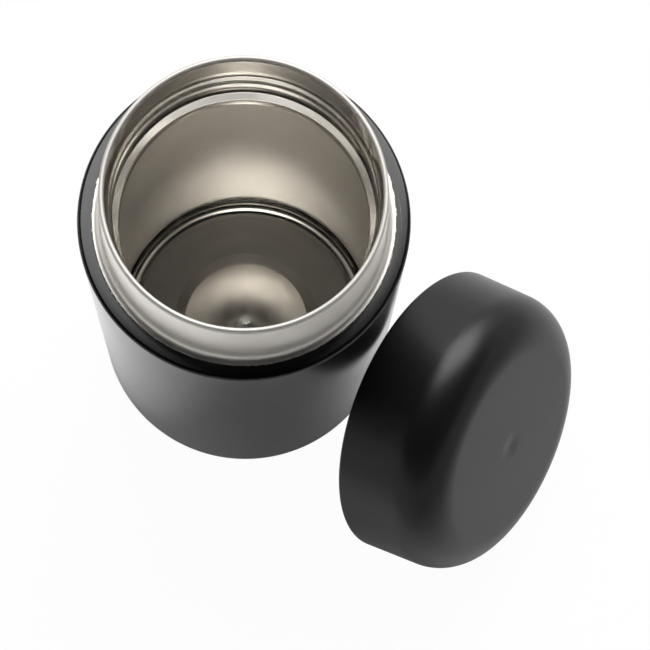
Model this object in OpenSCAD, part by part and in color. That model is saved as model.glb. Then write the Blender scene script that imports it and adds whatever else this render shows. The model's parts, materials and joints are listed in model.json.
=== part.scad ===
// Insulated tumbler: a double-walled steel vessel and its screw-in lid.
// The lid is off, standing on its edge and leaning on the vessel.
// Millimetres, +Z up, origin at the centre of the base.

/* [Body] */
// Outside diameter of the body
body_d = 80; // [72:0.5:92]
// Height from the base to the ledge that the lid closes on
body_h = 110.5; // [90:0.5:140]
// Radius of the rounded base edge
base_round = 11; // [7:0.5:14]
// Width of the flat lip that the shell turns in under the base
base_lip_w = 2.5; // [1.5:0.1:4]
// Width of the ledge round the foot of the collar
ledge_w = 3.6; // [3:0.1:5]
// Rounding of the ledge's outer edge
ledge_round = 1; // [0.8:0.1:2.8]
// Thickness of the steel sheet
sheet_t = 0.6; // [0.4:0.05:0.8]

/* [Collar and neck] */
// Height of the bare collar from the ledge to the rim
collar_h = 20.3; // [16:0.1:26]
// Radius of the fillet at the foot of the collar
collar_fillet = 2.1; // [1:0.1:3]
// How far the collar draws in between its foot and the rim
collar_lean = 0.8; // [0:0.1:2]
// Height of the plain land inside the mouth, below the rim
land_h = 6.4; // [4:0.1:9]
// Height of the band inside the neck that carries the thread
thread_h = 11.8; // [8:0.1:15]
// How far the neck draws in over the thread band
thread_draw = 0.5; // [0.1:0.1:1.5]
// Depth of the rolled thread
thread_depth = 0.9; // [0.5:0.1:1.2]
// Width of the sloping seat for the gasket
seat_w = 1.7; // [1.2:0.1:3]
// Height of the sloping seat
seat_h = 2.4; // [1.6:0.1:4]
// Height of the straight edge below the seat
neck_edge_h = 2.4; // [1:0.1:5]

/* [Chamber] */
// Depth of the double wall, from the outside of the body to the inside of the chamber
wall_depth = 4.8; // [3.6:0.1:6]
// Height of the chamber floor above the base
floor_z = 8.7; // [7.6:0.1:14]
// Fillet between the chamber wall and the floor
floor_fillet = 3.5; // [2:0.1:5]
// Straight height of the floor cup above its fillet, up to the weld
floor_cup_h = 2; // [1:0.1:6]
// Radius of the sphere of the dome in the floor
dome_r = 46; // [36:0.5:58]
// Height of the dome above the floor
dome_h = 3.5; // [2.5:0.1:5]

/* [Vacuum space] */
// Thickness of the foil wrapped on the chamber wall
foil_t = 0.2; // [0.1:0.05:0.4]
// Bare height left above and below the foil
foil_margin = 3; // [1:0.5:8]
// Radius of the sealing dimple in the base pan
dimple_r = 5; // [4:0.1:7]
// Height of the sealing dimple
dimple_h = 2.4; // [1.6:0.1:3]
// Radius of the hole that the air is drawn out through
exhaust_r = 1; // [0.6:0.1:1.5]
// Diameter of the getter tablet
getter_d = 8; // [6:0.1:10]
// Height of the getter tablet
getter_h = 2.2; // [1.5:0.1:3]
// Distance of the getter from the axis
getter_x = 14; // [13:0.5:16]
// Width of the clip that holds the getter
clip_w = 5; // [3:0.1:6]
// Thickness of the clip
clip_t = 0.4; // [0.3:0.05:0.6]
// Length of each foot of the clip
clip_foot = 2.5; // [1.5:0.1:4]

/* [Lid] */
// How far the lid's edge stands back from the side of the body
lid_inset = 0.45; // [0:0.05:1]
// Height of the lid above the rim of the closed vessel
lid_crown = 7.1; // [6:0.1:10]
// Radius of the lid's rounded top edge
lid_round = 11.8; // [9:0.1:14]
// Draft of the lid's side, in degrees
lid_draft = 3; // [0:0.1:5]
// Wall of the lid's cover
lid_wall = 2.2; // [1.6:0.1:2.6]
// Rounding of the lid's lower edge
lid_edge = 0.9; // [0.4:0.1:1]
// Depth of the shallow dish at the centre of the lid's top
dish_depth = 0.3; // [0.1:0.05:0.6]
// Radius of the shallow dish
dish_r = 4; // [2:0.5:8]
// Wall of the threaded plug
plug_wall = 1.8; // [1.4:0.1:2.4]
// Depth of the groove that holds the gasket
groove_depth = 2.2; // [1.6:0.1:3]
// Height of the gasket
gasket_h = 2.2; // [1.6:0.1:3]
// Height of the plug's foot below the gasket
plug_foot_h = 1.2; // [0.8:0.1:2]
// Thickness of the plug's flange under the crown
flange_t = 2; // [1.4:0.1:2.4]

/* [Lid at rest] */
// Bearing of the point where the lid leans on the body, in degrees from +X
lid_bearing = -26.2; // [-90:0.1:90]
// Turn of the lid away from facing the body squarely, in degrees
lid_twist = 4.2; // [-8:0.1:8]
// Angle of the lid's axis above the horizontal, in degrees
lid_lean = 25.8; // [15:0.1:40]
// Gap between the leaning lid and the body
lean_gap = 0.5; // [0.3:0.05:1]

/* [Clearances] */
// Gap at a welded or glued seam
seam_gap = 0.05; // [0.02:0.01:0.1]
// Gap round a loose or soft piece
loose_gap = 0.3; // [0.2:0.05:0.4]
// Gap between the plug and the thread in the neck
thread_gap = 0.4; // [0.2:0.05:0.6]

/* [Hidden] */
$fn = 180;

body_r = body_d / 2;
base_lip_r = body_r - base_round - base_lip_w;
foot_r = body_r - ledge_w;
collar_r = foot_r - collar_fillet;
rim_r = collar_r - collar_lean;
rim_t = 2 * sheet_t + seam_gap;
rim_z = body_h + collar_h;

// Inside of the neck, from the rim down
land_r = rim_r - rim_t;
land_bottom = rim_z - rim_t - seam_gap - land_h;
thread_r = land_r - thread_draw;
thread_bottom = land_bottom - thread_h;
neck_r = thread_r - seat_w;
seat_bottom = thread_bottom - seat_h;
neck_bottom = seat_bottom - neck_edge_h;

chamber_r = body_r - wall_depth;
shoulder_round = chamber_r - neck_r;
floor_weld_z = floor_z + floor_fillet + floor_cup_h;
dome_z = floor_z + dome_h - dome_r;

pan_z = sheet_t + seam_gap;
pan_top = pan_z + sheet_t;

// The lid's own frame has its edge at height 0 and its axis along +Z
lid_r = body_r - lid_inset;
lid_channel_h = collar_h + loose_gap;
lid_h = lid_channel_h + lid_crown;
lid_arc_z = lid_h - lid_round;
lid_arc_x = lid_r - (lid_round + lid_arc_z * sin(lid_draft)) / cos(lid_draft);
plug_r = thread_r - thread_depth - thread_gap;
groove_r = plug_r - groove_depth;
gasket_bottom = seat_bottom - body_h + seat_h / 4;
groove_bottom = gasket_bottom - loose_gap;
groove_top = gasket_bottom + gasket_h + loose_gap;
plug_bottom = groove_bottom - plug_foot_h;
plug_inner_r = groove_r - plug_wall;

// Half section of a round slab with rounded lower and upper edges
module slab_section(r, low, high, low_round, high_round) {
    intersection() {
        half_plane(low, high);
        union() {
            translate([0, low + low_round])
                square([r, high - high_round - low - low_round]);
            translate([0, low])
                square([r - low_round, high - low - high_round]);
            translate([0, low + low_round])
                square([r - high_round, high - low - low_round]);
            if (low_round > 0)
                translate([r - low_round, low + low_round])
                    circle(low_round);
            if (high_round > 0)
                translate([r - high_round, high - high_round])
                    circle(high_round);
        }
    }
}

// Half of the plane on the positive side of the axis, between two heights
module half_plane(low, high) {
    translate([0, low])
        square([body_d, high - low]);
}

// Drawn steel body, turned in at the ledge and under the base
module outer_shell() {
    color([0.06, 0.06, 0.065])
        rotate_extrude()
            difference() {
                slab_section(body_r, 0, body_h, base_round, ledge_round);
                slab_section(body_r - sheet_t, sheet_t, body_h - sheet_t,
                             base_round - sheet_t, ledge_round - sheet_t);
                translate([0, -sheet_t])
                    square([base_lip_r, body_h / 2]);
                translate([0, body_h / 2])
                    square([foot_r, body_h]);
            }
}

// Bare collar with its foot fillet, leaning wall and rolled rim
module neck_collar() {
    fillet_top = body_h + collar_fillet;
    lip_z = rim_z - rim_t;
    color([0.72, 0.71, 0.69])
        rotate_extrude() {
            // Quarter-round foot, one sheet thick
            intersection() {
                translate([foot_r, fillet_top])
                    difference() {
                        circle(collar_fillet + sheet_t);
                        circle(collar_fillet);
                    }
                translate([0, body_h - sheet_t])
                    square([foot_r - seam_gap, collar_fillet + sheet_t]);
            }
            polygon([
                [collar_r - sheet_t, fillet_top],
                [collar_r, fillet_top],
                [rim_r, lip_z],
                [rim_r - sheet_t, lip_z]
            ]);
            // Rolled rim, rounded over the top
            translate([rim_r - rim_t, lip_z])
                square([rim_t, rim_t / 2]);
            intersection() {
                translate([rim_r - rim_t / 2, rim_z - rim_t / 2])
                    circle(rim_t / 2);
                half_plane(rim_z - rim_t / 2, rim_z);
            }
        }
}

// Space inside the liner, grown by a wall thickness
module liner_space(grow) {
    translate([0, land_bottom])
        square([land_r + grow, land_h]);
    polygon([
        [0, thread_bottom],
        [thread_r + grow, thread_bottom],
        [land_r + grow, land_bottom],
        [0, land_bottom]
    ]);
    polygon([
        [0, seat_bottom],
        [neck_r + grow, seat_bottom],
        [thread_r + grow, thread_bottom],
        [0, thread_bottom]
    ]);
    translate([0, neck_bottom])
        square([neck_r + grow, neck_edge_h]);
    slab_section(chamber_r + grow, floor_weld_z, neck_bottom + grow, 0, shoulder_round + grow);
}

// Neck and wall of the inner liner, one spun tube
module liner_wall() {
    color([0.66, 0.64, 0.61])
        rotate_extrude()
            difference() {
                liner_space(sheet_t);
                liner_space(0);
            }
}

// Space inside the floor cup, grown by a wall thickness
module floor_space(grow) {
    slab_section(chamber_r + grow, floor_z - grow, floor_weld_z - seam_gap, floor_fillet + grow, 0);
}

// Floor cup of the liner with its raised dome
module liner_floor() {
    color([0.62, 0.6, 0.57])
        rotate_extrude()
            difference() {
                union() {
                    difference() {
                        floor_space(sheet_t);
                        floor_space(0);
                    }
                    intersection() {
                        translate([0, dome_z])
                            circle(dome_r);
                        half_plane(floor_z - sheet_t, floor_z + dome_h);
                    }
                }
                intersection() {
                    translate([0, dome_z])
                        circle(dome_r - sheet_t);
                    half_plane(dome_z - dome_r, floor_z + dome_h);
                }
            }
}

// Foil wrapped round the chamber wall inside the vacuum
module radiation_foil() {
    foil_r = chamber_r + sheet_t + seam_gap;
    foil_low = floor_weld_z + foil_margin;
    foil_high = neck_bottom - shoulder_round - foil_margin;
    color([0.8, 0.8, 0.81])
        rotate_extrude()
            translate([foil_r, foil_low])
                square([foil_t, foil_high - foil_low]);
}

// Bottom of the outer wall, with the dimple and hole of the vacuum seal
module base_pan() {
    pan_r = body_r - base_round;
    dimple_top = pan_top + dimple_h;
    color([0.6, 0.59, 0.57])
        rotate_extrude() {
            translate([dimple_r, pan_z])
                square([pan_r - dimple_r, sheet_t]);
            translate([dimple_r, pan_z])
                square([sheet_t, dimple_top - pan_z]);
            translate([exhaust_r, dimple_top - sheet_t])
                square([dimple_r + sheet_t - exhaust_r, sheet_t]);
        }
}

// Solder plug that closes the exhaust hole from below
module vacuum_seal() {
    seal_top = pan_top + dimple_h - sheet_t - seam_gap;
    seal_h = seal_top - pan_top;
    color([0.35, 0.33, 0.3])
        rotate_extrude() {
            translate([0, pan_top])
                square([dimple_r - loose_gap, seal_h]);
            translate([0, pan_top])
                square([exhaust_r - seam_gap, seal_h + 2 * sheet_t]);
        }
}

// Tablet that takes up stray gas
module getter_tablet() {
    color([0.3, 0.3, 0.31])
        translate([getter_x, 0, pan_top + seam_gap])
            cylinder(h = getter_h, d = getter_d);
}

// Strap over the tablet, its feet welded to the base pan
module getter_clip() {
    inside = getter_d / 2 + seam_gap;
    outside = inside + clip_t;
    clip_z = pan_top + seam_gap;
    strap_z = clip_z + getter_h + seam_gap;
    color([0.68, 0.67, 0.65])
        translate([getter_x, -clip_w / 2, 0]) {
            translate([-outside, 0, strap_z])
                cube([2 * outside, clip_w, clip_t]);
            for (side = [-1, 1]) {
                translate([side > 0 ? inside : -outside, 0, clip_z])
                    cube([clip_t, clip_w, strap_z + clip_t - clip_z]);
                translate([side > 0 ? inside : -outside - clip_foot, 0, clip_z])
                    cube([clip_foot + clip_t, clip_w, clip_t]);
            }
        }
}

// Plate that hides the seal and makes the standing face
module base_cover() {
    color([0.06, 0.06, 0.065])
        cylinder(h = sheet_t, r = base_lip_r - loose_gap);
}

// Puts a lid piece where the lid leans: its edge on the floor and its top against the body
module lid_place() {
    bearing = lid_bearing + lid_twist;
    lean_point = (body_r + lean_gap) * [cos(lid_bearing), sin(lid_bearing)];
    drawn_back = lid_r * sin(lid_lean) * [cos(bearing), sin(bearing)];
    centre = lean_point + drawn_back;
    translate([centre[0], centre[1], lid_r * cos(lid_lean)])
        rotate([0, 90 - lid_lean, bearing])
            children();
}

// Half section of the lid's form, taken in by a wall thickness
module lid_section(inset) {
    arc = lid_round - inset;
    tangent = [lid_arc_x + arc * cos(lid_draft), lid_arc_z + arc * sin(lid_draft)];
    polygon([
        [0, 0],
        [lid_r - inset / cos(lid_draft), 0],
        tangent,
        [0, tangent[1]]
    ]);
    translate([lid_arc_x, lid_arc_z])
        circle(arc);
    square([lid_arc_x, lid_h - inset]);
}

// Outer cover with its rounded top, drafted side and soft lower edge
module lid_cover() {
    edge_x = lid_r - lid_edge * (1 + tan(lid_draft));
    color([0.05, 0.05, 0.052])
        lid_place()
            rotate_extrude()
                difference() {
                    union() {
                        difference() {
                            lid_section(0);
                            translate([edge_x, 0])
                                square(lid_edge);
                        }
                        translate([edge_x, lid_edge])
                            circle(lid_edge);
                    }
                    lid_section(lid_wall);
                    // Shallow dish, a segment of a large circle
                    intersection() {
                        dish_ball = (dish_r * dish_r + dish_depth * dish_depth) / (2 * dish_depth);
                        translate([0, lid_h - dish_depth + dish_ball])
                            circle(dish_ball);
                        half_plane(lid_h - lid_wall, lid_h + lid_wall);
                    }
                }
}

// Plug that screws into the neck, with its flange under the crown and its gasket groove
module lid_plug() {
    color([0.09, 0.09, 0.095])
        lid_place()
            rotate_extrude()
                difference() {
                    union() {
                        translate([0, plug_bottom])
                            square([plug_r, lid_channel_h - plug_bottom]);
                        intersection() {
                            lid_section(lid_wall + seam_gap);
                            half_plane(lid_channel_h, lid_channel_h + flange_t);
                        }
                    }
                    // Groove for the gasket, and the narrower foot below it
                    translate([groove_r, groove_bottom])
                        square([plug_r, groove_top - groove_bottom]);
                    translate([neck_r - loose_gap, plug_bottom])
                        square([plug_r, plug_foot_h]);
                    // Hollow for the foam
                    translate([0, plug_bottom + plug_wall])
                        square([plug_inner_r, lid_h]);
                }
}

// Insulating foam between the plug's floor and the cover's crown
module lid_foam() {
    foam_r = min(plug_inner_r, lid_arc_x) - loose_gap;
    foam_low = plug_bottom + plug_wall + seam_gap;
    foam_high = lid_h - lid_wall - seam_gap;
    color([0.9, 0.88, 0.8])
        lid_place()
            translate([0, 0, foam_low])
                cylinder(h = foam_high - foam_low, r = foam_r);
}

// Silicone ring that closes on the seat in the neck
module lid_gasket() {
    outer_r = plug_r + thread_gap;
    seat_slope = seat_w / seat_h;
    low_r = neck_r + (gasket_bottom - seat_bottom + body_h) * seat_slope - loose_gap;
    bevel_top = gasket_bottom + (outer_r - low_r) / seat_slope;
    color([0.16, 0.16, 0.165])
        lid_place()
            rotate_extrude()
                polygon([
                    [groove_r + loose_gap, gasket_bottom],
                    [low_r, gasket_bottom],
                    [outer_r, bevel_top],
                    [outer_r, gasket_bottom + gasket_h],
                    [groove_r + loose_gap, gasket_bottom + gasket_h]
                ]);
}

outer_shell();
neck_collar();
liner_wall();
liner_floor();
radiation_foil();
base_pan();
getter_tablet();
getter_clip();
vacuum_seal();
base_cover();
lid_cover();
lid_plug();
lid_foam();
lid_gasket();
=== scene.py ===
"""Insulated tumbler: meshes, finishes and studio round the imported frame.

The frame gives the places: metres, +Z up, origin at the centre of the base. Sizes in the classes are
millimetres, as on a drawing, and become metres when a mesh is made. Every round piece is a half section
(radius, height) carried round its own axis.
"""

from __future__ import annotations

import json
import logging
import math
from abc import ABC, abstractmethod
from dataclasses import dataclass, field
from enum import Enum
from typing import Callable, Optional, Sequence, Union

import bpy
import numpy as np
from mathutils import Matrix, Vector

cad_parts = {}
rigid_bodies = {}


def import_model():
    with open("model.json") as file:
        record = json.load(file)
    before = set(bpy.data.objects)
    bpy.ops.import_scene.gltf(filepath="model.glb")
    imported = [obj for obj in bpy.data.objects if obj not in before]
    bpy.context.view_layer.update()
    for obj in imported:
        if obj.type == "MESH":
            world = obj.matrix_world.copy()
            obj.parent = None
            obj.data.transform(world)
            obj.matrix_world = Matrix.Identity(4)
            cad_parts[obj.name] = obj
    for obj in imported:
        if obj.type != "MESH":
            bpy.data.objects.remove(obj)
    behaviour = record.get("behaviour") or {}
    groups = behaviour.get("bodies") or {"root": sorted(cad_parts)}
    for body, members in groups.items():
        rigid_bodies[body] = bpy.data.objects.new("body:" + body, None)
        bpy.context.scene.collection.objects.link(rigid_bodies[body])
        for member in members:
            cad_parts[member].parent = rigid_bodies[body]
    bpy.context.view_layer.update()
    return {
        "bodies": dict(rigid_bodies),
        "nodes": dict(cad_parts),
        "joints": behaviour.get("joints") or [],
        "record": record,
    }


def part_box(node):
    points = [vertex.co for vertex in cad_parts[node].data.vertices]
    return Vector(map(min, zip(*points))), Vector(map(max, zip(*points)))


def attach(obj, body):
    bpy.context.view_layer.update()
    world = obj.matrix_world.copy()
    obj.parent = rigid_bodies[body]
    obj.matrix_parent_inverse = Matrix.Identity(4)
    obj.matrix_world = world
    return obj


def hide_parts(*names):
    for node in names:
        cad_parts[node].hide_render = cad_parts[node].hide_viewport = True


LOG = logging.getLogger("tumbler")
MM = 0.001

# Fineness: columns round the axis, an arc's steps by angle and by millimetres, and its most rows
COLUMNS = 288
ARC_STEP = math.radians(6)
ARC_LENGTH = 0.6
ARC_ROWS = 40
SHARP_ANGLE = math.radians(38)

# Slack in millimetres when points are told apart by their radius
NEAR = 0.05

Colour = tuple[float, float, float]
Value = Union["Wire", float, int, Sequence[float]]


class Body(Enum):
    """Bodies of the frame that pieces ride on."""

    VESSEL = "vessel"
    LID = "lid"
    LID_SEAL = "lid_seal"


# Half sections and meshes


@dataclass(frozen=True)
class Corner:
    """Corner of a half section: radius and height, and the radius that rounds it off."""

    r: float
    z: float
    soft: float = 0.0


def soften(corners: Sequence[Corner], closed: bool) -> np.ndarray:
    """Rounds the corners of a half section.

    A corner that turns by an angle t with rounding q is replaced by an arc of radius q that leaves each
    side q * tan(t / 2) from the corner. Corners run anticlockwise, with the material on their left.

    Args:
        corners: Corners in order. An open section starts and ends on the axis.
        closed: Whether the last corner joins the first.

    Returns:
        Points (radius, height), one row each.
    """
    places = np.array([(c.r, c.z) for c in corners])
    rows = []
    for i, corner in enumerate(corners):
        here = places[i]
        if corner.soft <= 0 or (not closed and i in (0, len(corners) - 1)):
            rows.append(here[None])
            continue
        came = here - places[i - 1]
        goes = places[(i + 1) % len(corners)] - here
        came = came / np.linalg.norm(came)
        goes = goes / np.linalg.norm(goes)
        turn = math.atan2(came[0] * goes[1] - came[1] * goes[0], came @ goes)
        start = here - came * corner.soft * math.tan(abs(turn) / 2)
        side = np.array([-came[1], came[0]]) * math.copysign(1.0, turn)
        fine = min(ARC_ROWS, math.ceil(abs(turn) * corner.soft / ARC_LENGTH))
        sweep = np.linspace(0, abs(turn), max(2, fine, math.ceil(abs(turn) / ARC_STEP)) + 1)[:, None]
        rows.append(start + corner.soft * (np.sin(sweep) * came + (1 - np.cos(sweep)) * side))
    return np.vstack(rows)


def refine(section: np.ndarray, closed: bool, spacing: Callable[[np.ndarray], np.ndarray]) -> np.ndarray:
    """Splits each side of a section into equal steps no longer than the spacing at its middle.

    Args:
        section: Points (radius, height).
        closed: Whether the last point joins the first.
        spacing: Longest step in millimetres for sides with these middles.

    Returns:
        The section with the extra points in place.
    """
    start = section if closed else section[:-1]
    side = (np.roll(section, -1, axis=0) if closed else section[1:])[: len(start)] - start
    count = np.ceil(np.linalg.norm(side, axis=1) / spacing(start + side / 2)).astype(int).clip(1)
    which = np.repeat(np.arange(len(count)), count)
    share = (np.arange(count.sum()) - np.repeat(np.cumsum(count) - count, count)) / count[which]
    points = start[which] + share[:, None] * side[which]
    return points if closed else np.vstack([points, section[-1:]])


def revolve(
    name: str,
    section: np.ndarray,
    closed: bool,
    shift: Optional[Callable[[np.ndarray, np.ndarray, np.ndarray], np.ndarray]] = None,
    place: Matrix = Matrix.Identity(4),
) -> bpy.types.Object:
    """Carries a half section round the axis: a point at bearing t is (r cos t, r sin t, z).

    Args:
        name: Name of the new object.
        section: Points in millimetres, anticlockwise. An open section starts and ends on the axis.
        closed: Whether the section is a ring's, with its last point joined to its first.
        shift: Change of radius as a function of the grids of bearing, radius and height.
        place: Where the piece's own axis stands, in metres.

    Returns:
        The mesh object, at the origin, with its place in its vertices.
    """
    bearing = np.linspace(0, 2 * math.pi, COLUMNS, endpoint=False)[None]
    rings = section if closed else section[1:-1]
    r, z = rings[:, :1], rings[:, 1:]
    if shift is not None:
        r = r + shift(bearing, r + 0 * bearing, z + 0 * bearing)
    grid = np.stack(np.broadcast_arrays(r * np.cos(bearing), r * np.sin(bearing), z), axis=-1)
    points = grid.reshape(-1, 3)
    rows = len(rings)
    i = np.arange(rows if closed else rows - 1)[:, None]
    j = np.arange(COLUMNS)[None]
    far = (j + 1) % COLUMNS
    below, above = i * COLUMNS, (i + 1) % rows * COLUMNS
    faces = np.stack([below + j, below + far, above + far, above + j], axis=-1).reshape(-1, 4).tolist()
    if not closed:
        poles = np.array([[0, 0, section[0, 1]], [0, 0, section[-1, 1]]])
        first, last = len(points), len(points) + 1
        points = np.vstack([points, poles])
        rim = (rows - 1) * COLUMNS
        faces += np.stack([j + 0 * far, first + 0 * j, far], axis=-1).reshape(-1, 3).tolist()
        faces += np.stack([rim + j, rim + far, last + 0 * j], axis=-1).reshape(-1, 3).tolist()
    turn = np.array(place.to_3x3())
    mesh = bpy.data.meshes.new(name)
    mesh.from_pydata(points * MM @ turn.T + np.array(place.translation), [], faces)
    mesh.validate()
    mesh.shade_smooth()
    mesh.set_sharp_from_angle(angle=SHARP_ANGLE)
    made = bpy.data.objects.new(name, mesh)
    bpy.context.scene.collection.objects.link(made)
    return made


@dataclass(frozen=True)
class Thread:
    """Rolled thread: a rounded ridge on a right-handed helix, with blunt ends."""

    start_z: float
    start_bearing: float
    pitch: float
    turns: float
    height: float
    half_width: float
    blunt: float = 7.0

    def ridge(self, bearing: np.ndarray, z: np.ndarray) -> np.ndarray:
        """Height of the ridge over the plain wall.

        The helix climbs one pitch a turn. A point's distance d from the nearest turn, up the axis, gives
        (1 + cos(pi d / half width)) / 2, and a smooth step over the blunt angle ends it.

        Args:
            bearing: Bearings in radians.
            z: Heights in millimetres.

        Returns:
            Ridge heights in millimetres, on the same grid.
        """
        ahead = np.mod(bearing - math.radians(self.start_bearing), 2 * math.pi) / (2 * math.pi)
        climbed = (z - self.start_z) / self.pitch
        lap = np.clip(np.round(climbed - ahead), 0, math.ceil(self.turns) - 1)
        along = lap + ahead
        distance = np.minimum(np.abs(climbed - along) * self.pitch / self.half_width, 1)
        blunt = self.blunt / 360
        end = np.clip(np.minimum(along, self.turns - along) / blunt, 0, 1)
        return self.height * (1 + np.cos(math.pi * distance)) / 2 * end * end * (3 - 2 * end)


# Shader graphs


class Wire:
    """Output of a shader node that takes part in Python arithmetic, each operator adding a Math node."""

    def __init__(self, graph: "Graph", socket: bpy.types.NodeSocket) -> None:
        """Keeps the graph and the socket."""
        self.graph = graph
        self.socket = socket

    def math(self, operation: str, *others: Value) -> "Wire":
        """Adds a Math node.

        Args:
            operation: Blender's name for the operation.
            others: Operands after this one.

        Returns:
            The node's result.
        """
        inputs = dict(enumerate((self, *others)))
        return self.graph.node("ShaderNodeMath", {"operation": operation}, inputs)

    def _reflected(self, operation: str, other: Value) -> "Wire":
        """Adds a Math node with this value as the second operand."""
        return self.graph.node("ShaderNodeMath", {"operation": operation}, {0: other, 1: self})

    def __add__(self, other: Value) -> "Wire":
        """This plus other."""
        return self.math("ADD", other)

    def __radd__(self, other: Value) -> "Wire":
        """Other plus this."""
        return self.math("ADD", other)

    def __sub__(self, other: Value) -> "Wire":
        """This minus other."""
        return self.math("SUBTRACT", other)

    def __rsub__(self, other: Value) -> "Wire":
        """Other minus this."""
        return self._reflected("SUBTRACT", other)

    def __mul__(self, other: Value) -> "Wire":
        """This times other."""
        return self.math("MULTIPLY", other)

    def __rmul__(self, other: Value) -> "Wire":
        """Other times this."""
        return self.math("MULTIPLY", other)

    def __truediv__(self, other: Value) -> "Wire":
        """This over other."""
        return self.math("DIVIDE", other)

    def __rtruediv__(self, other: Value) -> "Wire":
        """Other over this."""
        return self._reflected("DIVIDE", other)

    def most(self, other: Value) -> "Wire":
        """The greater of the two."""
        return self.math("MAXIMUM", other)

    def least(self, other: Value) -> "Wire":
        """The lesser of the two."""
        return self.math("MINIMUM", other)

    def step(self, low: Value, high: Value) -> "Wire":
        """Smooth step from 0 at low to 1 at high.

        Args:
            low: Value at which the step starts. It may be above high, for a falling step.
            high: Value at which the step ends.

        Returns:
            The step, between 0 and 1.
        """
        inputs = {"Value": self, "From Min": low, "From Max": high}
        return self.graph.node("ShaderNodeMapRange", {"interpolation_type": "SMOOTHSTEP"}, inputs)


class Graph:
    """Node tree of one material, with the few helpers that the finishes share."""

    def __init__(self, name: str) -> None:
        """Makes an empty material of that name."""
        self.material = bpy.data.materials.new(name)
        self.material.use_nodes = True
        self.tree = self.material.node_tree
        self.tree.nodes.clear()

    def node(
        self,
        kind: str,
        settings: Optional[dict[str, object]] = None,
        inputs: Optional[dict[Union[int, str], Value]] = None,
        output: Union[int, str] = 0,
    ) -> Wire:
        """Adds a node.

        Args:
            kind: Blender's name for the node's type.
            settings: Properties that are set first, such as a Math node's operation.
            inputs: Values or wires by socket name or index.
            output: Name or index of the output that is wanted.

        Returns:
            That output, as a wire.
        """
        made = self.tree.nodes.new(kind)
        for key, value in (settings or {}).items():
            setattr(made, key, value)
        for key, value in (inputs or {}).items():
            socket = self._socket(made.inputs, key)
            if isinstance(value, Wire):
                self.tree.links.new(value.socket, socket)
            else:
                socket.default_value = value
        return Wire(self, self._socket(made.outputs, output))

    @staticmethod
    def _socket(sockets: bpy.types.bpy_prop_collection, key: Union[int, str]) -> bpy.types.NodeSocket:
        """Socket at an index, or the one in use with that name."""
        named = (s for s in sockets if s.name == key and s.enabled)
        return sockets[key] if isinstance(key, int) else next(named)

    def place(self) -> Wire:
        """Object coordinates in metres."""
        return self.node("ShaderNodeTexCoord", output="Object")

    def xyz(self) -> tuple[Wire, Wire, Wire]:
        """The three object coordinates, in millimetres."""
        split = self.node("ShaderNodeSeparateXYZ", inputs={"Vector": self.place()}).socket.node
        return tuple(Wire(self, s) / MM for s in split.outputs)

    def polar(self) -> tuple[Wire, Wire, Wire]:
        """Bearing in radians, radius and height in millimetres, about the vessel's axis."""
        x, y, z = self.xyz()
        return y.math("ARCTAN2", x), (x * x + y * y).math("SQRT"), z

    def vector(self, x: Value, y: Value, z: Value) -> Wire:
        """A vector from three values."""
        return self.node("ShaderNodeCombineXYZ", inputs={0: x, 1: y, 2: z})

    def noise(self, where: Wire, scale: float, detail: float = 2.0, rough: float = 0.5) -> Wire:
        """Smooth noise about 0.5.

        Args:
            where: Coordinates.
            scale: Waves per unit of the coordinates.
            detail: Octaves.
            rough: Share of each finer octave.

        Returns:
            The noise.
        """
        inputs = {"Vector": where, "Scale": scale, "Detail": detail, "Roughness": rough}
        return self.node("ShaderNodeTexNoise", inputs=inputs)

    def blend(self, share: Value, low: Union[Wire, Colour], high: Union[Wire, Colour]) -> Wire:
        """Mixes two colours.

        Args:
            share: 0 for low, 1 for high.
            low: First colour.
            high: Second colour.

        Returns:
            The mixed colour.
        """
        a, b = (c if isinstance(c, Wire) else (*c, 1.0) for c in (low, high))
        inputs = {"Factor": share, "A": a, "B": b}
        return self.node("ShaderNodeMix", {"data_type": "RGBA"}, inputs, "Result")

    def relief(self, height: Wire, depth: float) -> Wire:
        """Surface normal of a relief.

        Args:
            height: Relief, from 0 to 1.
            depth: Depth of the relief in millimetres.

        Returns:
            The normal.
        """
        inputs = {"Strength": 1.0, "Distance": depth * MM, "Height": height}
        return self.node("ShaderNodeBump", inputs=inputs)

    def surface(self, shader: Wire) -> bpy.types.Material:
        """Ends the graph in a shader.

        Args:
            shader: The shader that the surface shows.

        Returns:
            The finished material.
        """
        end = self.tree.nodes.new("ShaderNodeOutputMaterial")
        self.tree.links.new(shader.socket, end.inputs["Surface"])
        return self.material

    def principled(self, **inputs: Value) -> bpy.types.Material:
        """Ends the graph in a Principled shader.

        Args:
            inputs: Values or wires by socket name, with underscores for spaces.

        Returns:
            The finished material.
        """
        named = {key.replace("_", " "): value for key, value in inputs.items()}
        return self.surface(self.node("ShaderNodeBsdfPrincipled", inputs=named))


# Finishes


@dataclass(frozen=True)
class Finish(ABC):
    """Finish of a surface."""

    name: str

    @abstractmethod
    def material(self) -> bpy.types.Material:
        """Makes the material."""


STEEL: Colour = (0.855, 0.825, 0.775)


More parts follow.
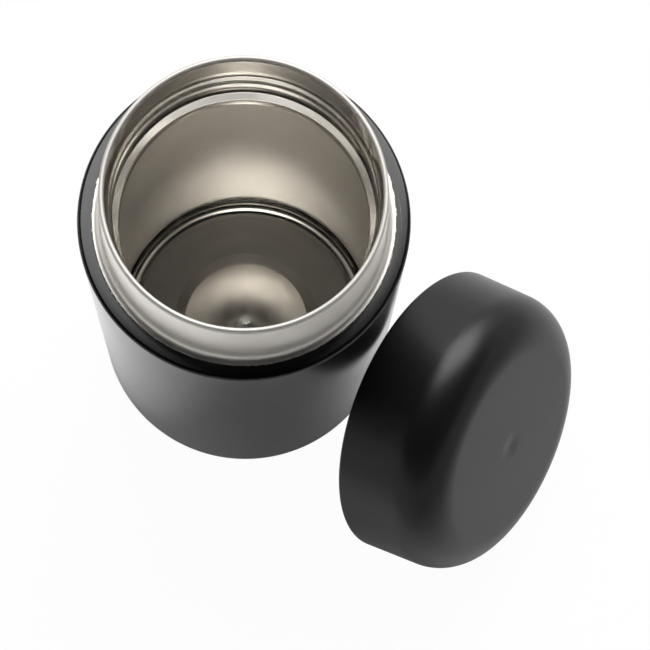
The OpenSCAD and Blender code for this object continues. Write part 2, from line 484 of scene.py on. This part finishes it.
@dataclass(frozen=True)
class CoatedSteel(Finish):
    """Satin black powder coat: fine orange peel, a frayed edge at the collar's foot and a worn line."""

    foot_r: float
    ledge_z: float
    black: Colour = (0.003, 0.003, 0.0031)
    roughness: float = 0.18
    sheen: float = 0.36
    peel_depth: float = 0.0025
    ragged: float = 0.22
    wear_r: float = 37.55
    wear_bearing: float = 10.0
    wear_spread: float = 7.5
    wear_fade: float = 1.0
    wear_drift: float = -1.45
    wear_w: float = 0.03
    wear_bare: float = 0.3

    def material(self) -> bpy.types.Material:
        """Makes the material.

        Returns:
            The material, for the pieces with this finish.
        """
        g = Graph(self.name)
        bearing, radius, height = g.polar()
        round_about = g.vector(bearing.math("COSINE"), bearing.math("SINE"), 0.0)
        on_ledge = height.step(self.ledge_z - 0.3, self.ledge_z - 0.1)
        fray = g.noise(round_about, scale=30.0, detail=4.0, rough=0.65).step(0.4, 0.75) * self.ragged
        bare_edge = (radius - self.foot_r - fray).step(0.05, -0.03) * on_ledge
        ahead = bearing - math.radians(self.wear_bearing)
        off_line = (radius - self.wear_r - ahead * self.wear_drift).math("ABSOLUTE")
        ends = math.radians(self.wear_spread), math.radians(self.wear_spread - self.wear_fade)
        window = ahead.math("ABSOLUTE").step(*ends)
        dashes = g.noise(round_about, scale=140.0).step(0.48, 0.56)
        worn = off_line.step(2 * self.wear_w, self.wear_w) * window * on_ledge * dashes
        bare = bare_edge.most(worn * self.wear_bare)
        peel = g.noise(g.place(), scale=1500.0)
        grain = g.noise(g.place(), scale=5200.0, detail=1.0)
        cloud = g.noise(g.place(), scale=55.0, detail=3.0)
        rough = self.roughness + (cloud - 0.5) * 0.04 + (grain - 0.5) * 0.04
        return g.principled(
            Base_Color=g.blend(bare, self.black, STEEL),
            Metallic=bare,
            Roughness=rough + bare * 0.2,
            Specular_IOR_Level=self.sheen,
            Normal=g.relief(peel * 0.8 + grain * 0.2, self.peel_depth),
        )


class Polish(Enum):
    """How bright a bare steel surface is: its roughness."""

    BUFFED = 0.12
    BRIGHT = 0.14
    SPUN = 0.22
    FINE = 0.26
    SCOURED = 0.35
    SATIN = 0.36
    BRUSHED = 0.42
    MATT = 0.58


class Along(Enum):
    """What a piece's zones are told apart by."""

    RADIUS = "radius"
    HEIGHT = "height"


@dataclass(frozen=True)
class Zone:
    """Polish from a radius or height on, in millimetres, and the share of the tint that is left."""

    start: float
    polish: Polish
    shade: float = 1.0


@dataclass(frozen=True)
class SpunSteel(Finish):
    """Bare steel with fine lines round the axis, in zones of different polish.

    The grain draws a reflection out, and its spread, a share of a full turn, says which way. Lines are the
    depth of the relief in millimetres, and rings are how far the roughness sways across the lines.
    """

    zones: tuple[Zone, ...]
    along: Along = Along.HEIGHT
    tint: Colour = STEEL
    lines: float = 0.0006
    rings: float = 0.05
    grain: float = 0.3
    spread: float = 0.25
    blend_w: float = 0.3

    def material(self) -> bpy.types.Material:
        """Makes the material.

        Returns:
            The material, for the pieces with this finish.
        """
        g = Graph(self.name)
        bearing, radius, height = g.polar()
        across = g.vector(bearing * 0.25, radius, height)
        spun = g.noise(across, scale=7.0, detail=3.0, rough=0.6)
        brushed = g.noise(across, scale=1.6)
        cloud = g.noise(g.place(), scale=45.0, detail=3.0)
        speck = g.noise(g.place(), scale=3200.0)
        rough = (brushed - 0.5) * self.rings + (cloud - 0.5) * 0.03 + self.zones[0].polish.value
        shade = self.zones[0].shade - 0.07 * cloud.step(0.75, 0.25)
        where = radius if self.along is Along.RADIUS else height
        for last, zone in zip(self.zones, self.zones[1:]):
            share = where.step(zone.start - self.blend_w, zone.start + self.blend_w)
            rough = rough + share * (zone.polish.value - last.polish.value)
            shade = shade + share * (zone.shade - last.shade)
        return g.principled(
            Base_Color=g.blend(shade, (0.0, 0.0, 0.0), self.tint),
            Metallic=1 - 0.01 * cloud,
            Roughness=rough,
            Anisotropic=self.grain,
            Anisotropic_Rotation=self.spread,
            Normal=g.relief(spun * 0.7 + speck * 0.3, self.lines),
        )


@dataclass(frozen=True)
class MouldedPlastic(Finish):
    """Black moulded plastic with a fine spark texture."""

    black: Colour = (0.0045, 0.0045, 0.0046)
    roughness: float = 0.36
    sheen: float = 0.31
    texture: float = 0.003
    fleck: float = 1.35

    def material(self) -> bpy.types.Material:
        """Makes the material.

        Returns:
            The material, for the pieces with this finish.
        """
        g = Graph(self.name)
        spark = g.noise(g.place(), scale=2600.0, detail=3.0, rough=0.6)
        cloud = g.noise(g.place(), scale=40.0, detail=3.0)
        grey = tuple(self.fleck * c for c in self.black)
        return g.principled(
            Base_Color=g.blend(spark.step(0.3, 0.8), self.black, grey),
            Roughness=self.roughness + (cloud - 0.5) * 0.06 + (spark - 0.5) * 0.08,
            Specular_IOR_Level=self.sheen,
            Normal=g.relief(spark, self.texture),
        )


@dataclass(frozen=True)
class Silicone(Finish):
    """Dark silicone: soft sheen and a dusty, faintly mottled skin."""

    dark: Colour = (0.028, 0.028, 0.03)
    dusty: Colour = (0.05, 0.05, 0.052)
    skin: float = 0.004

    def material(self) -> bpy.types.Material:
        """Makes the material.

        Returns:
            The material, for the pieces with this finish.
        """
        g = Graph(self.name)
        dust = g.noise(g.place(), scale=900.0, detail=4.0, rough=0.6)
        return g.principled(
            Base_Color=g.blend(dust.step(0.4, 0.8), self.dark, self.dusty),
            Roughness=0.5 + (dust - 0.5) * 0.2,
            IOR=1.42,
            Normal=g.relief(dust, self.skin),
        )


@dataclass(frozen=True)
class CrinkledFoil(Finish):
    """Bright aluminium foil with the creases of being wrapped."""

    # Painted shade in the valleys of the creases and painted light on their crests
    painted_shade_valley: Colour = (0.78, 0.78, 0.8)
    painted_light_crest: Colour = (0.88, 0.88, 0.89)
    depth: float = 0.25

    def material(self) -> bpy.types.Material:
        """Makes the material.

        Returns:
            The material, for the pieces with this finish.
        """
        g = Graph(self.name)
        crease = g.noise(g.place(), scale=160.0, detail=5.0, rough=0.55)
        return g.principled(
            # Painted shade and light: the colour follows the height of the creases, darker in the valleys,
            # lighter on the crests
            Base_Color=g.blend(crease, self.painted_shade_valley, self.painted_light_crest),
            Metallic=1.0,
            Roughness=0.2 + crease * 0.12,
            Normal=g.relief(crease, self.depth),
        )


@dataclass(frozen=True)
class GrainyMatter(Finish):
    """Grainy matt matter of two colours, such as a pressed tablet, solder glass or foam."""

    dark: Colour
    light: Colour
    roughness: float
    grain: float
    depth: float

    def material(self) -> bpy.types.Material:
        """Makes the material.

        Returns:
            The material, for the pieces with this finish.
        """
        g = Graph(self.name)
        inputs = {"Vector": g.place(), "Scale": self.grain}
        cells = g.node("ShaderNodeTexVoronoi", inputs=inputs, output="Distance")
        speck = g.noise(g.place(), scale=self.grain * 0.7, detail=3.0)
        return g.principled(
            Base_Color=g.blend(speck.step(0.3, 0.7), self.dark, self.light),
            Roughness=self.roughness + (speck - 0.5) * 0.15,
            Normal=g.relief(cells.least(1.0), self.depth),
        )


# Sub-assemblies


@dataclass
class Assembly(ABC):
    """A sub-assembly: builds its pieces, dresses them and sets them on their body."""

    frame: dict

    @abstractmethod
    def build(self) -> list[bpy.types.Object]:
        """Makes the pieces and returns them."""

    def settle(
        self, piece: bpy.types.Object, node: str, body: Body, slot: str, finish: Finish
    ) -> bpy.types.Object:
        """Dresses a new piece and puts it in the place of its node.

        Args:
            piece: The new piece.
            node: Node that it stands for.
            body: Body that it rides on.
            slot: Material slot of the record; not used.
            finish: Its finish.

        Returns:
            The piece.
        """
        piece.data.materials.append(finish.material())
        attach(piece, body.value)
        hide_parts(node)
        return piece

    def trim(
        self, piece: bpy.types.Object, finish: Finish, where: Callable[[np.ndarray], np.ndarray]
    ) -> None:
        """Gives part of a piece a second finish.

        Args:
            piece: The piece.
            finish: The second finish.
            where: Tells from the faces' centres, in metres, which faces take it.
        """
        mesh = piece.data
        centre = np.empty(3 * len(mesh.polygons))
        mesh.polygons.foreach_get("center", centre)
        mesh.materials.append(finish.material())
        mesh.polygons.foreach_set("material_index", where(centre.reshape(-1, 3)).astype(np.int32))

    def dress(self, node: str, finish: Finish) -> bpy.types.Object:
        """Gives a node of the frame its finish, in its own shape.

        Args:
            node: The node.
            finish: Its finish.

        Returns:
            The node's object.
        """
        shown = self.frame["nodes"][node]
        shown.data.materials.clear()
        shown.data.materials.append(finish.material())
        return shown


@dataclass
class Shell(Assembly):
    """Outer shell and the plate under its base."""

    sheet: float = 0.6
    sheet_edge: float = 0.18
    base_round: float = 11.0
    base_lip: float = 2.5
    ledge_w: float = 3.6
    ledge_round: float = 1.0
    plate_gap: float = 0.3
    plate_bevel: float = 0.2

    def __post_init__(self) -> None:
        """Takes the radius and the height of the ledge from the frame."""
        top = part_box("outer_shell")[1]
        self.r = top.x / MM
        self.ledge_z = top.z / MM
        self.foot_r = self.r - self.ledge_w
        self.lip_r = self.r - self.base_round - self.base_lip

    def build(self) -> list[bpy.types.Object]:
        """Makes the shell and the plate.

        Returns:
            The two pieces.
        """
        coat = CoatedSteel("black_powder_coat", self.foot_r, self.ledge_z)
        shell = self.settle(self.shell(), "outer_shell", Body.VESSEL, "coated_steel", coat)
        plate = self.settle(self.plate(), "base_cover", Body.VESSEL, "coated_steel", coat)
        return [shell, plate]

    def shell(self) -> bpy.types.Object:
        """Makes the shell: one sheet turned in at the ledge and under the base, its edges rounded.

        Returns:
            The shell.
        """
        t, edge = self.sheet, self.sheet_edge
        inside = self.r - t
        corners = [
            Corner(self.lip_r, 0, edge),
            Corner(self.r, 0, self.base_round),
            Corner(self.r, self.ledge_z, self.ledge_round),
            Corner(self.foot_r, self.ledge_z, edge),
            Corner(self.foot_r, self.ledge_z - t, edge),
            Corner(inside, self.ledge_z - t, self.ledge_round - t),
            Corner(inside, t, self.base_round - t),
            Corner(self.lip_r, t, edge),
        ]
        return revolve("coated_shell", soften(corners, True), True)

    def plate(self) -> bpy.types.Object:
        """Makes the flat plate with its bevelled edge.

        Returns:
            The plate.
        """
        r = self.lip_r - self.plate_gap
        corners = [
            Corner(0, 0),
            Corner(r, 0, self.plate_bevel),
            Corner(r, self.sheet, self.plate_bevel),
            Corner(0, self.sheet),
        ]
        return revolve("base_plate", soften(corners, False), False)


@dataclass
class Collar(Assembly):
    """Bare collar on the ledge, with its foot fillet and rolled rim."""

    sheet: float = 0.6
    foot_r: float = 36.35
    fillet: float = 2.1
    wall_r: float = 34.3
    rim_r: float = 33.5
    rim_t: float = 1.25
    edge: float = 0.1
    roll_slack: float = 0.01
    rim_polish_h: float = 1.3
    rim_shade: float = 0.62

    def __post_init__(self) -> None:
        """Takes the heights from the frame."""
        self.ledge_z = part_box("outer_shell")[1].z / MM
        self.rim_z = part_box("neck_collar")[1].z / MM

    def build(self) -> list[bpy.types.Object]:
        """Makes the collar, its rim a matt zone.

        Returns:
            The one piece.
        """
        rim = Zone(self.rim_z - self.rim_polish_h, Polish.MATT, self.rim_shade)
        finish = SpunSteel("collar_satin_steel", (Zone(0, Polish.BRUSHED), rim))
        return [self.settle(self.ring(), "neck_collar", Body.VESSEL, "collar_steel", finish)]

    def ring(self) -> bpy.types.Object:
        """Makes one sheet: quarter-round foot, leaning wall, rim rolled over to the liner.

        Returns:
            The ring.
        """
        t, edge = self.sheet, self.edge
        lip_z = self.rim_z - self.rim_t
        roll = self.rim_t / 2 - self.roll_slack
        inner = self.rim_r - self.rim_t
        corners = [
            Corner(self.foot_r, self.ledge_z - t, edge),
            Corner(self.foot_r, self.ledge_z, edge),
            Corner(self.wall_r, self.ledge_z, self.fillet - edge),
            Corner(self.rim_r, self.rim_z, roll),
            Corner(inner, self.rim_z, roll),
            Corner(inner, lip_z, edge),
            Corner(self.rim_r - t, lip_z, edge),
            Corner(self.wall_r - t, self.ledge_z - t, self.fillet + t - 2 * edge),
        ]
        return revolve("collar_ring", soften(corners, True), True)


@dataclass
class Liner(Assembly):
    """Inner liner: threaded neck and chamber wall, and the floor cup with its dome."""

    sheet: float = 0.6
    edge: float = 0.1
    bend: float = 0.5
    land_r: float = 32.25
    land_h: float = 6.4
    thread_r: float = 31.75
    thread_h: float = 12.15
    thread_lead: float = 3.51
    thread_step: float = 0.17
    neck_r: float = 30.05
    seat_h: float = 1.7
    seat_round: float = 0.7
    neck_edge_h: float = 2.75
    chamber_r: float = 35.2
    wall_step: float = 6.0
    weld_gap: float = 0.05
    floor_z: float = 8.7
    floor_fillet: float = 3.5
    floor_slope: float = 7.2
    floor_drop: float = 0.8
    floor_turn_w: float = 1.4
    floor_step: float = 2.0
    dome_r: float = 46.0
    dome_h: float = 3.5
    dome_foot: float = 0.8
    ring_r: float = 31.1
    # Width of a band painted dark at the top of the floor fillet: a painted reflection of dark surroundings
    painted_dark_band_w: float = 1.6
    fine_lines: float = 0.0002

    def __post_init__(self) -> None:
        """Takes the heights from the frame."""
        low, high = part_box("liner_wall")
        self.weld_z = low.z / MM
        self.top_z = high.z / MM
        self.land_bottom = self.top_z - self.land_h
        self.thread_bottom = self.land_bottom - self.thread_h
        self.seat_bottom = self.thread_bottom - self.seat_h
        self.neck_bottom = self.seat_bottom - self.neck_edge_h
        self.dome_z = self.floor_z + self.dome_h - self.dome_r
        self.dome_lean = math.acos((self.floor_z - self.dome_z) / self.dome_r)
        self.dome_foot_r = self.dome_r * math.sin(self.dome_lean)
        start_z = self.thread_bottom + self.thread_lead
        self.thread = Thread(start_z, start_bearing=32, pitch=4.11, turns=2, height=0.85, half_width=1.7)

    def build(self) -> list[bpy.types.Object]:
        """Makes the tube, bright in the neck, and the cup, whose dome has a polish of its own.

        Returns:
            The two pieces.
        """
        scoured, bright, spun = Zone(0, Polish.SCOURED, 0.86), Zone(0, Polish.BRIGHT), Zone(0, Polish.SPUN)
        across = (
            Zone(0, Polish.FINE, 0.84),
            Zone(self.ring_r, Polish.BUFFED, 0.75),
            # Painted reflection: the top of the fillet is painted dark, standing in for the dark things it
            # mirrors
            Zone(self.chamber_r - self.painted_dark_band_w, Polish.BUFFED, 0.35),
        )
        fine = {"lines": self.fine_lines}
        plain = {"along": Along.RADIUS, "rings": 0.0, "grain": 0.0}
        wall = SpunSteel("liner_wall_steel", (scoured,), rings=0.02, grain=0.65, spread=0.0, **fine)
        neck = SpunSteel("liner_neck_steel", (bright,), grain=0.0, **fine)
        floor = SpunSteel("liner_floor_steel", across, **plain, **fine)
        dome = SpunSteel("liner_dome_steel", (spun,), lines=0.0, **plain)
        tube = self.settle(self.tube(), "liner_wall", Body.VESSEL, "liner_steel", wall)
        self.trim(tube, neck, lambda centre: centre[:, 2] > (self.neck_bottom - 0.3) * MM)
        cup = self.settle(self.cup(), "liner_floor", Body.VESSEL, "floor_steel", floor)
        self.trim(cup, dome, lambda centre: np.hypot(centre[:, 0], centre[:, 1]) < self.dome_foot_r * MM)
        return [tube, cup]

    def tube(self) -> bpy.types.Object:
        """Makes the neck and wall: land, thread band, sloping seat, neck edge and chamber.

        Returns:
            The tube.
        """
        t, edge, bend = self.sheet, self.edge, self.bend
        shoulder = self.chamber_r - self.neck_r
        corners = [
            Corner(self.chamber_r, self.weld_z),
            Corner(self.chamber_r + t, self.weld_z),
            Corner(self.chamber_r + t, self.neck_bottom + t, shoulder + t),
            Corner(self.neck_r + t, self.neck_bottom + t, 2 * edge),
            Corner(self.neck_r + t, self.seat_bottom, bend),
            Corner(self.thread_r + t, self.thread_bottom, bend),
            Corner(self.land_r + t, self.land_bottom, bend),
            Corner(self.land_r + t, self.top_z, edge),
            Corner(self.land_r, self.top_z, edge),
            Corner(self.land_r, self.land_bottom, 0.8),
            Corner(self.thread_r, self.thread_bottom, self.seat_round),
            Corner(self.neck_r, self.seat_bottom, self.seat_round),
            Corner(self.neck_r, self.neck_bottom, 0.35),
            Corner(self.chamber_r, self.neck_bottom, shoulder - 0.4),
        ]

        def spacing(middle: np.ndarray) -> np.ndarray:
            """Fine steps on the inside of the neck, long ones elsewhere."""
            inside = (middle[:, 0] < self.land_r + NEAR) & (middle[:, 1] > self.seat_bottom)
            return np.where(inside, self.thread_step, self.wall_step)

        def roll_in(bearing: np.ndarray, r: np.ndarray, z: np.ndarray) -> np.ndarray:
            """The thread, pressed inwards from the inside face alone."""
            return np.where(r < self.land_r + NEAR, -self.thread.ridge(bearing, z), 0.0)

        section = refine(soften(corners, True), True, spacing)
        return revolve("liner_tube", section, True, roll_in)

    def cup(self) -> bpy.types.Object:
        """Makes the floor cup: wall, polished fillet, a floor that slopes gently inwards, and the dome.

        The floor falls at its slope to a ring outside the dome's foot, and an arc turns it up to the foot.

        Returns:
            The cup.
        """
        t, edge = self.sheet, self.edge
        under = self.dome_r - t
        under_lean = math.acos((self.floor_z - t - self.dome_z) / under)
        crown = self.floor_z + self.dome_h
        rise = math.tan(math.radians(self.floor_slope))
        mid = self.dome_foot_r + self.floor_turn_w
        low = self.floor_z - self.floor_drop
        bend = 0.93 * self.floor_turn_w / rise
        corners = [
            Corner(0, crown - t),
            Corner(under * math.tan(under_lean / 2), crown - t, under),
            Corner(under * math.sin(under_lean), self.floor_z - t, 2 * edge),
            Corner(self.chamber_r + t, self.floor_z - t, self.floor_fillet + t),
            Corner(self.chamber_r + t, self.weld_z - self.weld_gap, edge),
            Corner(self.chamber_r, self.weld_z - self.weld_gap, edge),
            Corner(self.chamber_r, low + (self.chamber_r - mid) * rise, self.floor_fillet),
            Corner(mid, low, bend),
            Corner(self.dome_foot_r, low + (mid - self.dome_foot_r) * rise, self.dome_foot),
            Corner(self.dome_r * math.tan(self.dome_lean / 2), crown, self.dome_r - 0.02),
            Corner(0, crown),
        ]
        section = refine(soften(corners, False), False, lambda middle: np.full(len(middle), self.floor_step))
        return revolve("liner_cup", section, False)


@dataclass
class VacuumFittings(Assembly):
    """Pieces sealed between the walls and under the base, which keep the frame's own shapes."""

    def build(self) -> list[bpy.types.Object]:
        """Dresses the foil, the pan, the seal, the getter and its clip.

        Returns:
            The five pieces.
        """
        plain = SpunSteel("plain_sheet_steel", (Zone(0, Polish.SATIN),))
        tablet = GrainyMatter(
            "getter_tablet_matter",
            dark=(0.03, 0.03, 0.032),
            light=(0.09, 0.09, 0.092),
            roughness=0.8,
            grain=2500.0,
            depth=0.03,
        )
        glass = GrainyMatter(
            "solder_glass_matter",
            dark=(0.05, 0.045, 0.04),
            light=(0.12, 0.11, 0.1),
            roughness=0.3,
            grain=700.0,
            depth=0.02,
        )
        return [
            self.dress("radiation_foil", CrinkledFoil("wrapped_foil")),
            self.dress("base_pan", plain),
            self.dress("getter_clip", plain),
            self.dress("getter_tablet", tablet),
            self.dress("vacuum_seal", glass),
        ]


@dataclass
class Lid(Assembly):
    """Screw-in lid: cover, threaded plug, foam core and gasket, on the lid's own leaning axis."""

    r: float = 39.55
    height: float = 27.7
    channel: float = 20.6
    top_round: float = 11.8
    draft: float = 3.0
    wall: float = 2.2
    edge: float = 0.9
    inner_edge: float = 0.3
    crease: float = 0.2
    dish_depth: float = 0.3
    dish_r: float = 4.0
    crown_step: float = 1.5
    plug_r: float = 30.45
    plug_wall: float = 1.8
    plug_bottom: float = -2.5
    plug_step: float = 3.0
    foot_r: float = 29.75
    groove_r: float = 28.25
    groove_low: float = -1.3
    groove_high: float = 1.5
    flange: float = 2.0
    seal_low: float = -1.0
    seal_high: float = 1.2
    seal_r: float = 30.85
    seal_lip_r: float = 30.175
    seal_inner_r: float = 28.55
    seal_slope: float = 2.4 / 1.7
    thread_step: float = 0.2
    thread: Thread = field(
        default_factory=lambda: Thread(
            start_z=5.2, start_bearing=140, pitch=4.11, turns=2, height=0.8, half_width=1.5, blunt=12
        )
    )

    def __post_init__(self) -> None:
        """Takes the lid's axis and the centre of its edge from the joint that it turns on."""
        joint = next(j for j in self.frame["joints"] if j["name"] == "lid_turn")
        axis = Vector(joint["axis"])
        turn = Vector((0, 0, 1)).rotation_difference(axis).to_matrix().to_4x4()
        self.place = Matrix.Translation(joint["pos_m"]) @ turn

    def build(self) -> list[bpy.types.Object]:
        """Makes the cover, plug and gasket and dresses the foam.

        Returns:
            The four pieces.
        """
        cover = MouldedPlastic("lid_moulded_plastic")
        plug = MouldedPlastic("plug_moulded_plastic", black=(0.02, 0.02, 0.021), roughness=0.38)
        soft = Silicone("gasket_silicone")
        foam = GrainyMatter(
            "foam_core_matter",
            dark=(0.7, 0.66, 0.54),
            light=(0.85, 0.82, 0.72),
            roughness=0.9,
            grain=1400.0,
            depth=0.15,
        )
        return [
            self.settle(self.cover(), "lid_cover", Body.LID, "lid_plastic", cover),
            self.settle(self.plug(), "lid_plug", Body.LID, "plug_plastic", plug),
            self.settle(self.seal(), "lid_gasket", Body.LID_SEAL, "silicone", soft),
            self.dress("lid_foam", foam),
        ]

    def side_r(self, z: float, inset: float = 0.0) -> float:
        """Radius of the drafted side at a height, taken in by a wall."""
        slope = math.radians(self.draft)
        return self.r - z * math.tan(slope) - inset / math.cos(slope)

    def cover(self) -> bpy.types.Object:
        """Makes the cap: large rounded top edge, drafted side, soft lower edge and a shallow dish.

        Returns:
            The cap.
        """
        top, under = self.height, self.height - self.wall
        corners = [
            Corner(0, under),
            Corner(self.side_r(under, self.wall), under, self.top_round - self.wall),
            Corner(self.side_r(0, self.wall), 0, self.inner_edge),
            Corner(self.r, 0, self.edge),
            Corner(self.side_r(top), top, self.top_round),
            Corner(self.dish_r, top, 6 * self.dish_r),
            Corner(0, top - self.dish_depth),
        ]
        section = refine(soften(corners, False), False, lambda middle: np.full(len(middle), self.crown_step))
        return revolve("lid_cap", section, False, None, self.place)

    def plug(self) -> bpy.types.Object:
        """Makes the cup-shaped plug: flange under the crown, threaded side, gasket groove, narrower foot.

        Returns:
            The plug.
        """
        edge, crease = self.inner_edge, self.crease
        inner = self.groove_r - self.plug_wall
        flange_r = self.side_r(self.channel, self.wall + 0.1)
        flange_top = self.channel + self.flange
        corners = [
            Corner(0, self.plug_bottom),
            Corner(self.foot_r, self.plug_bottom, 0.4),
            Corner(self.foot_r, self.groove_low, crease),
            Corner(self.groove_r, self.groove_low, crease),
            Corner(self.groove_r, self.groove_high, crease),
            Corner(self.plug_r, self.groove_high, edge),
            Corner(self.plug_r, self.channel, 0.8),
            Corner(flange_r, self.channel, edge),
            Corner(self.side_r(flange_top, self.wall + 0.6), flange_top, edge),
            Corner(inner, flange_top, edge),
            Corner(inner, self.plug_bottom + self.plug_wall, 1.0),
            Corner(0, self.plug_bottom + self.plug_wall),
        ]

        def spacing(middle: np.ndarray) -> np.ndarray:
            """Fine steps on the threaded side, long ones elsewhere."""
            side = (middle[:, 0] > self.plug_r - NEAR) & (middle[:, 1] < self.channel)
            return np.where(side, self.thread_step, self.plug_step)

        def cut_thread(bearing: np.ndarray, r: np.ndarray, z: np.ndarray) -> np.ndarray:
            """The thread, standing out from the side alone."""
            side = (r > self.plug_r - NEAR) & (z < self.channel)
            return np.where(side, self.thread.ridge(bearing, z), 0.0)

        section = refine(soften(corners, False), False, spacing)
        return revolve("threaded_plug", section, False, cut_thread, self.place)

    def seal(self) -> bpy.types.Object:
        """Makes the ring with its bevelled lip that closes on the seat.

        Returns:
            The ring.
        """
        bevel_top = self.seal_low + (self.seal_r - self.seal_lip_r) * self.seal_slope
        corners = [
            Corner(self.seal_inner_r, self.seal_low, self.crease),
            Corner(self.seal_lip_r, self.seal_low, 0.25),
            Corner(self.seal_r, bevel_top, 0.4),
            Corner(self.seal_r, self.seal_high, 0.35),
            Corner(self.seal_inner_r, self.seal_high, self.crease),
        ]
        return revolve("seal_ring", soften(corners, True), True, None, self.place)


# Studio


@dataclass(frozen=True)
class SoftBox:
    """Rectangular lamp that faces the object."""

    name: str
    off_zenith: float
    bearing: float
    distance: float
    width: float
    height: float
    roll: float
    power: float

    def hang(self, target: Vector) -> None:
        """Hangs the lamp in its direction from the target.

        Args:
            target: Point that it faces.
        """
        round_about = Matrix.Rotation(math.radians(self.bearing), 4, "Z")
        aim = round_about @ Matrix.Rotation(math.radians(self.off_zenith), 4, "Y")
        spin = Matrix.Rotation(math.radians(self.roll + 90), 4, "Z")
        lamp = bpy.data.lights.new(self.name, "AREA")
        lamp.shape = "RECTANGLE"
        lamp.size, lamp.size_y = self.width, self.height
        lamp.energy = self.power
        hung = bpy.data.objects.new(self.name, lamp)
        away = Matrix.Translation((0, 0, self.distance))
        hung.matrix_world = Matrix.Translation(target) @ aim @ away @ spin
        bpy.context.scene.collection.objects.link(hung)


@dataclass
class Studio:
    """White cove, soft light and the camera, in metres.

    The paper looks white to the camera. Mirror rays see a painted reflection of it: a gain of its own,
    painted light that makes it brighter on the left, and painted shade that darkens it in the nook between
    the lid and the body and low down far out. The turn to the left, the nook and the far ring are in
    millimetres, as the shaders read them.
    """

    floor_z: float = -0.0002
    floor_r: float = 2.0
    cove_r: float = 0.5
    wall_h: float = 0.9
    white: float = 0.82
    sky: Colour = (0.01, 0.01, 0.0105)
    target: Vector = field(default_factory=lambda: Vector((0.02, -0.01, 0.06)))
    seen_white: float = 0.97
    # Painted reflection, seen by mirror rays alone: a glow share and a gain of the paper, painted light on
    # the left, painted shade in the nook and far out
    mirrored_white: float = 0.15
    mirrored_gain: float = 1.15
    left_painted_light: float = 0.4
    left_turn: tuple[float, float] = (15.0, -30.0)
    nook: tuple[float, float] = (34.0, -42.0)
    nook_r: float = 45.0
    nook_painted_shade: float = 0.8
    far_r: tuple[float, float] = (250.0, 500.0)
    far_z: tuple[float, float] = (600.0, 300.0)
    far_painted_shade: float = 0.7
    eye: Vector = field(default_factory=lambda: Vector((0.02253, -0.14688, 0.59353)))
    looks_down: float = 75.6963
    roll: float = 7.5687
    lens: float = 116.73
    sensor: float = 36.0
    boxes: tuple[SoftBox, ...] = (
        SoftBox("key_box", 39, 88, 2.05, 1.82, 1.54, 24.4, 66.0),
        SoftBox("fill_box", 62, 172, 1.5, 0.6, 0.7, 0.0, 0.8),
    )

    def build(self) -> None:
        """Sets up the view, the light and the cove."""
        self.camera()
        for box in self.boxes:
            box.hang(self.target)
        self.light()
        self.cove()

    def camera(self) -> None:
        """Camera at the solved place, looking down along +Y with a small roll."""
        data = bpy.data.cameras.new("camera")
        data.lens = self.lens
        data.sensor_width = self.sensor
        camera = bpy.data.objects.new("camera", data)
        tilt = Matrix.Rotation(math.radians(90 - self.looks_down), 4, "X")
        spin = Matrix.Rotation(math.radians(self.roll), 4, "Z")
        camera.matrix_world = Matrix.Translation(self.eye) @ tilt @ spin
        bpy.context.scene.collection.objects.link(camera)
        bpy.context.scene.camera = camera

    def light(self) -> None:
        """Dim room round the lamps, and the plain view transform."""
        scene = bpy.context.scene
        scene.view_settings.view_transform = "Standard"
        scene.cycles.blur_glossy = 0.0
        world = bpy.data.worlds.new("room")
        world.use_nodes = True
        world.node_tree.nodes["Background"].inputs["Color"].default_value = (*self.sky, 1.0)
        scene.world = world

    def cove(self) -> None:
        """Round white floor that curves up into a wall, one profile carried round the origin."""
        edge = self.floor_r / MM
        corners = [
            Corner(0, self.floor_z / MM),
            Corner(edge, self.floor_z / MM, self.cove_r / MM),
            Corner(edge, self.wall_h / MM, 0),
            Corner(edge + 1, self.wall_h / MM, 0),
            Corner(edge + 1, self.floor_z / MM - 1, self.cove_r / MM),
            Corner(0, self.floor_z / MM - 1),
        ]
        floor = revolve("studio_cove", soften(corners, False)[::-1], False)
        g = Graph("studio_white")
        ray = g.node("ShaderNodeLightPath", output="Is Camera Ray")
        paths = ray.socket.node.outputs
        clear, mirror = Wire(g, paths["Is Transmission Ray"]), Wire(g, paths["Is Glossy Ray"])
        x, y, z = g.xyz()
        # Painted shade in the nook between lid and body, and painted light towards the left, both seen by
        # mirror rays alone
        aside, along = x - self.nook[0], y - self.nook[1]
        away = (aside * aside + along * along).math("SQRT")
        loss = self.nook_painted_shade * away.step(self.nook_r, 0.0)
        gain = self.mirrored_gain + self.left_painted_light * x.step(*self.left_turn) - loss
        # Painted shade low down far out, seen by mirror rays alone
        far = (x * x + y * y).math("SQRT").step(*self.far_r) * z.step(*self.far_z)
        shade = self.white * (1 + mirror * (gain - self.far_painted_shade * far - 1))
        paper = g.node("ShaderNodeBsdfDiffuse", inputs={"Color": g.vector(shade, shade, shade)})
        glow = g.node("ShaderNodeEmission", inputs={"Strength": 1.0})
        share = ((ray + clear) * self.seen_white).most(mirror * self.mirrored_white)
        shown = g.node("ShaderNodeMixShader", inputs={0: share, 1: paper, 2: glow})
        floor.data.materials.append(g.surface(shown))


def main() -> None:
    """Builds every sub-assembly round the frame, then the studio."""
    logging.basicConfig(level=logging.INFO, format="%(name)s: %(message)s")
    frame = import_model()
    Studio().build()
    for kind in (Shell, Collar, Liner, VacuumFittings, Lid):
        for piece in kind(frame).build():
            LOG.info("%s: %s, %d faces", kind.__name__, piece.name, len(piece.data.polygons))


if __name__ == "__main__":
    main()
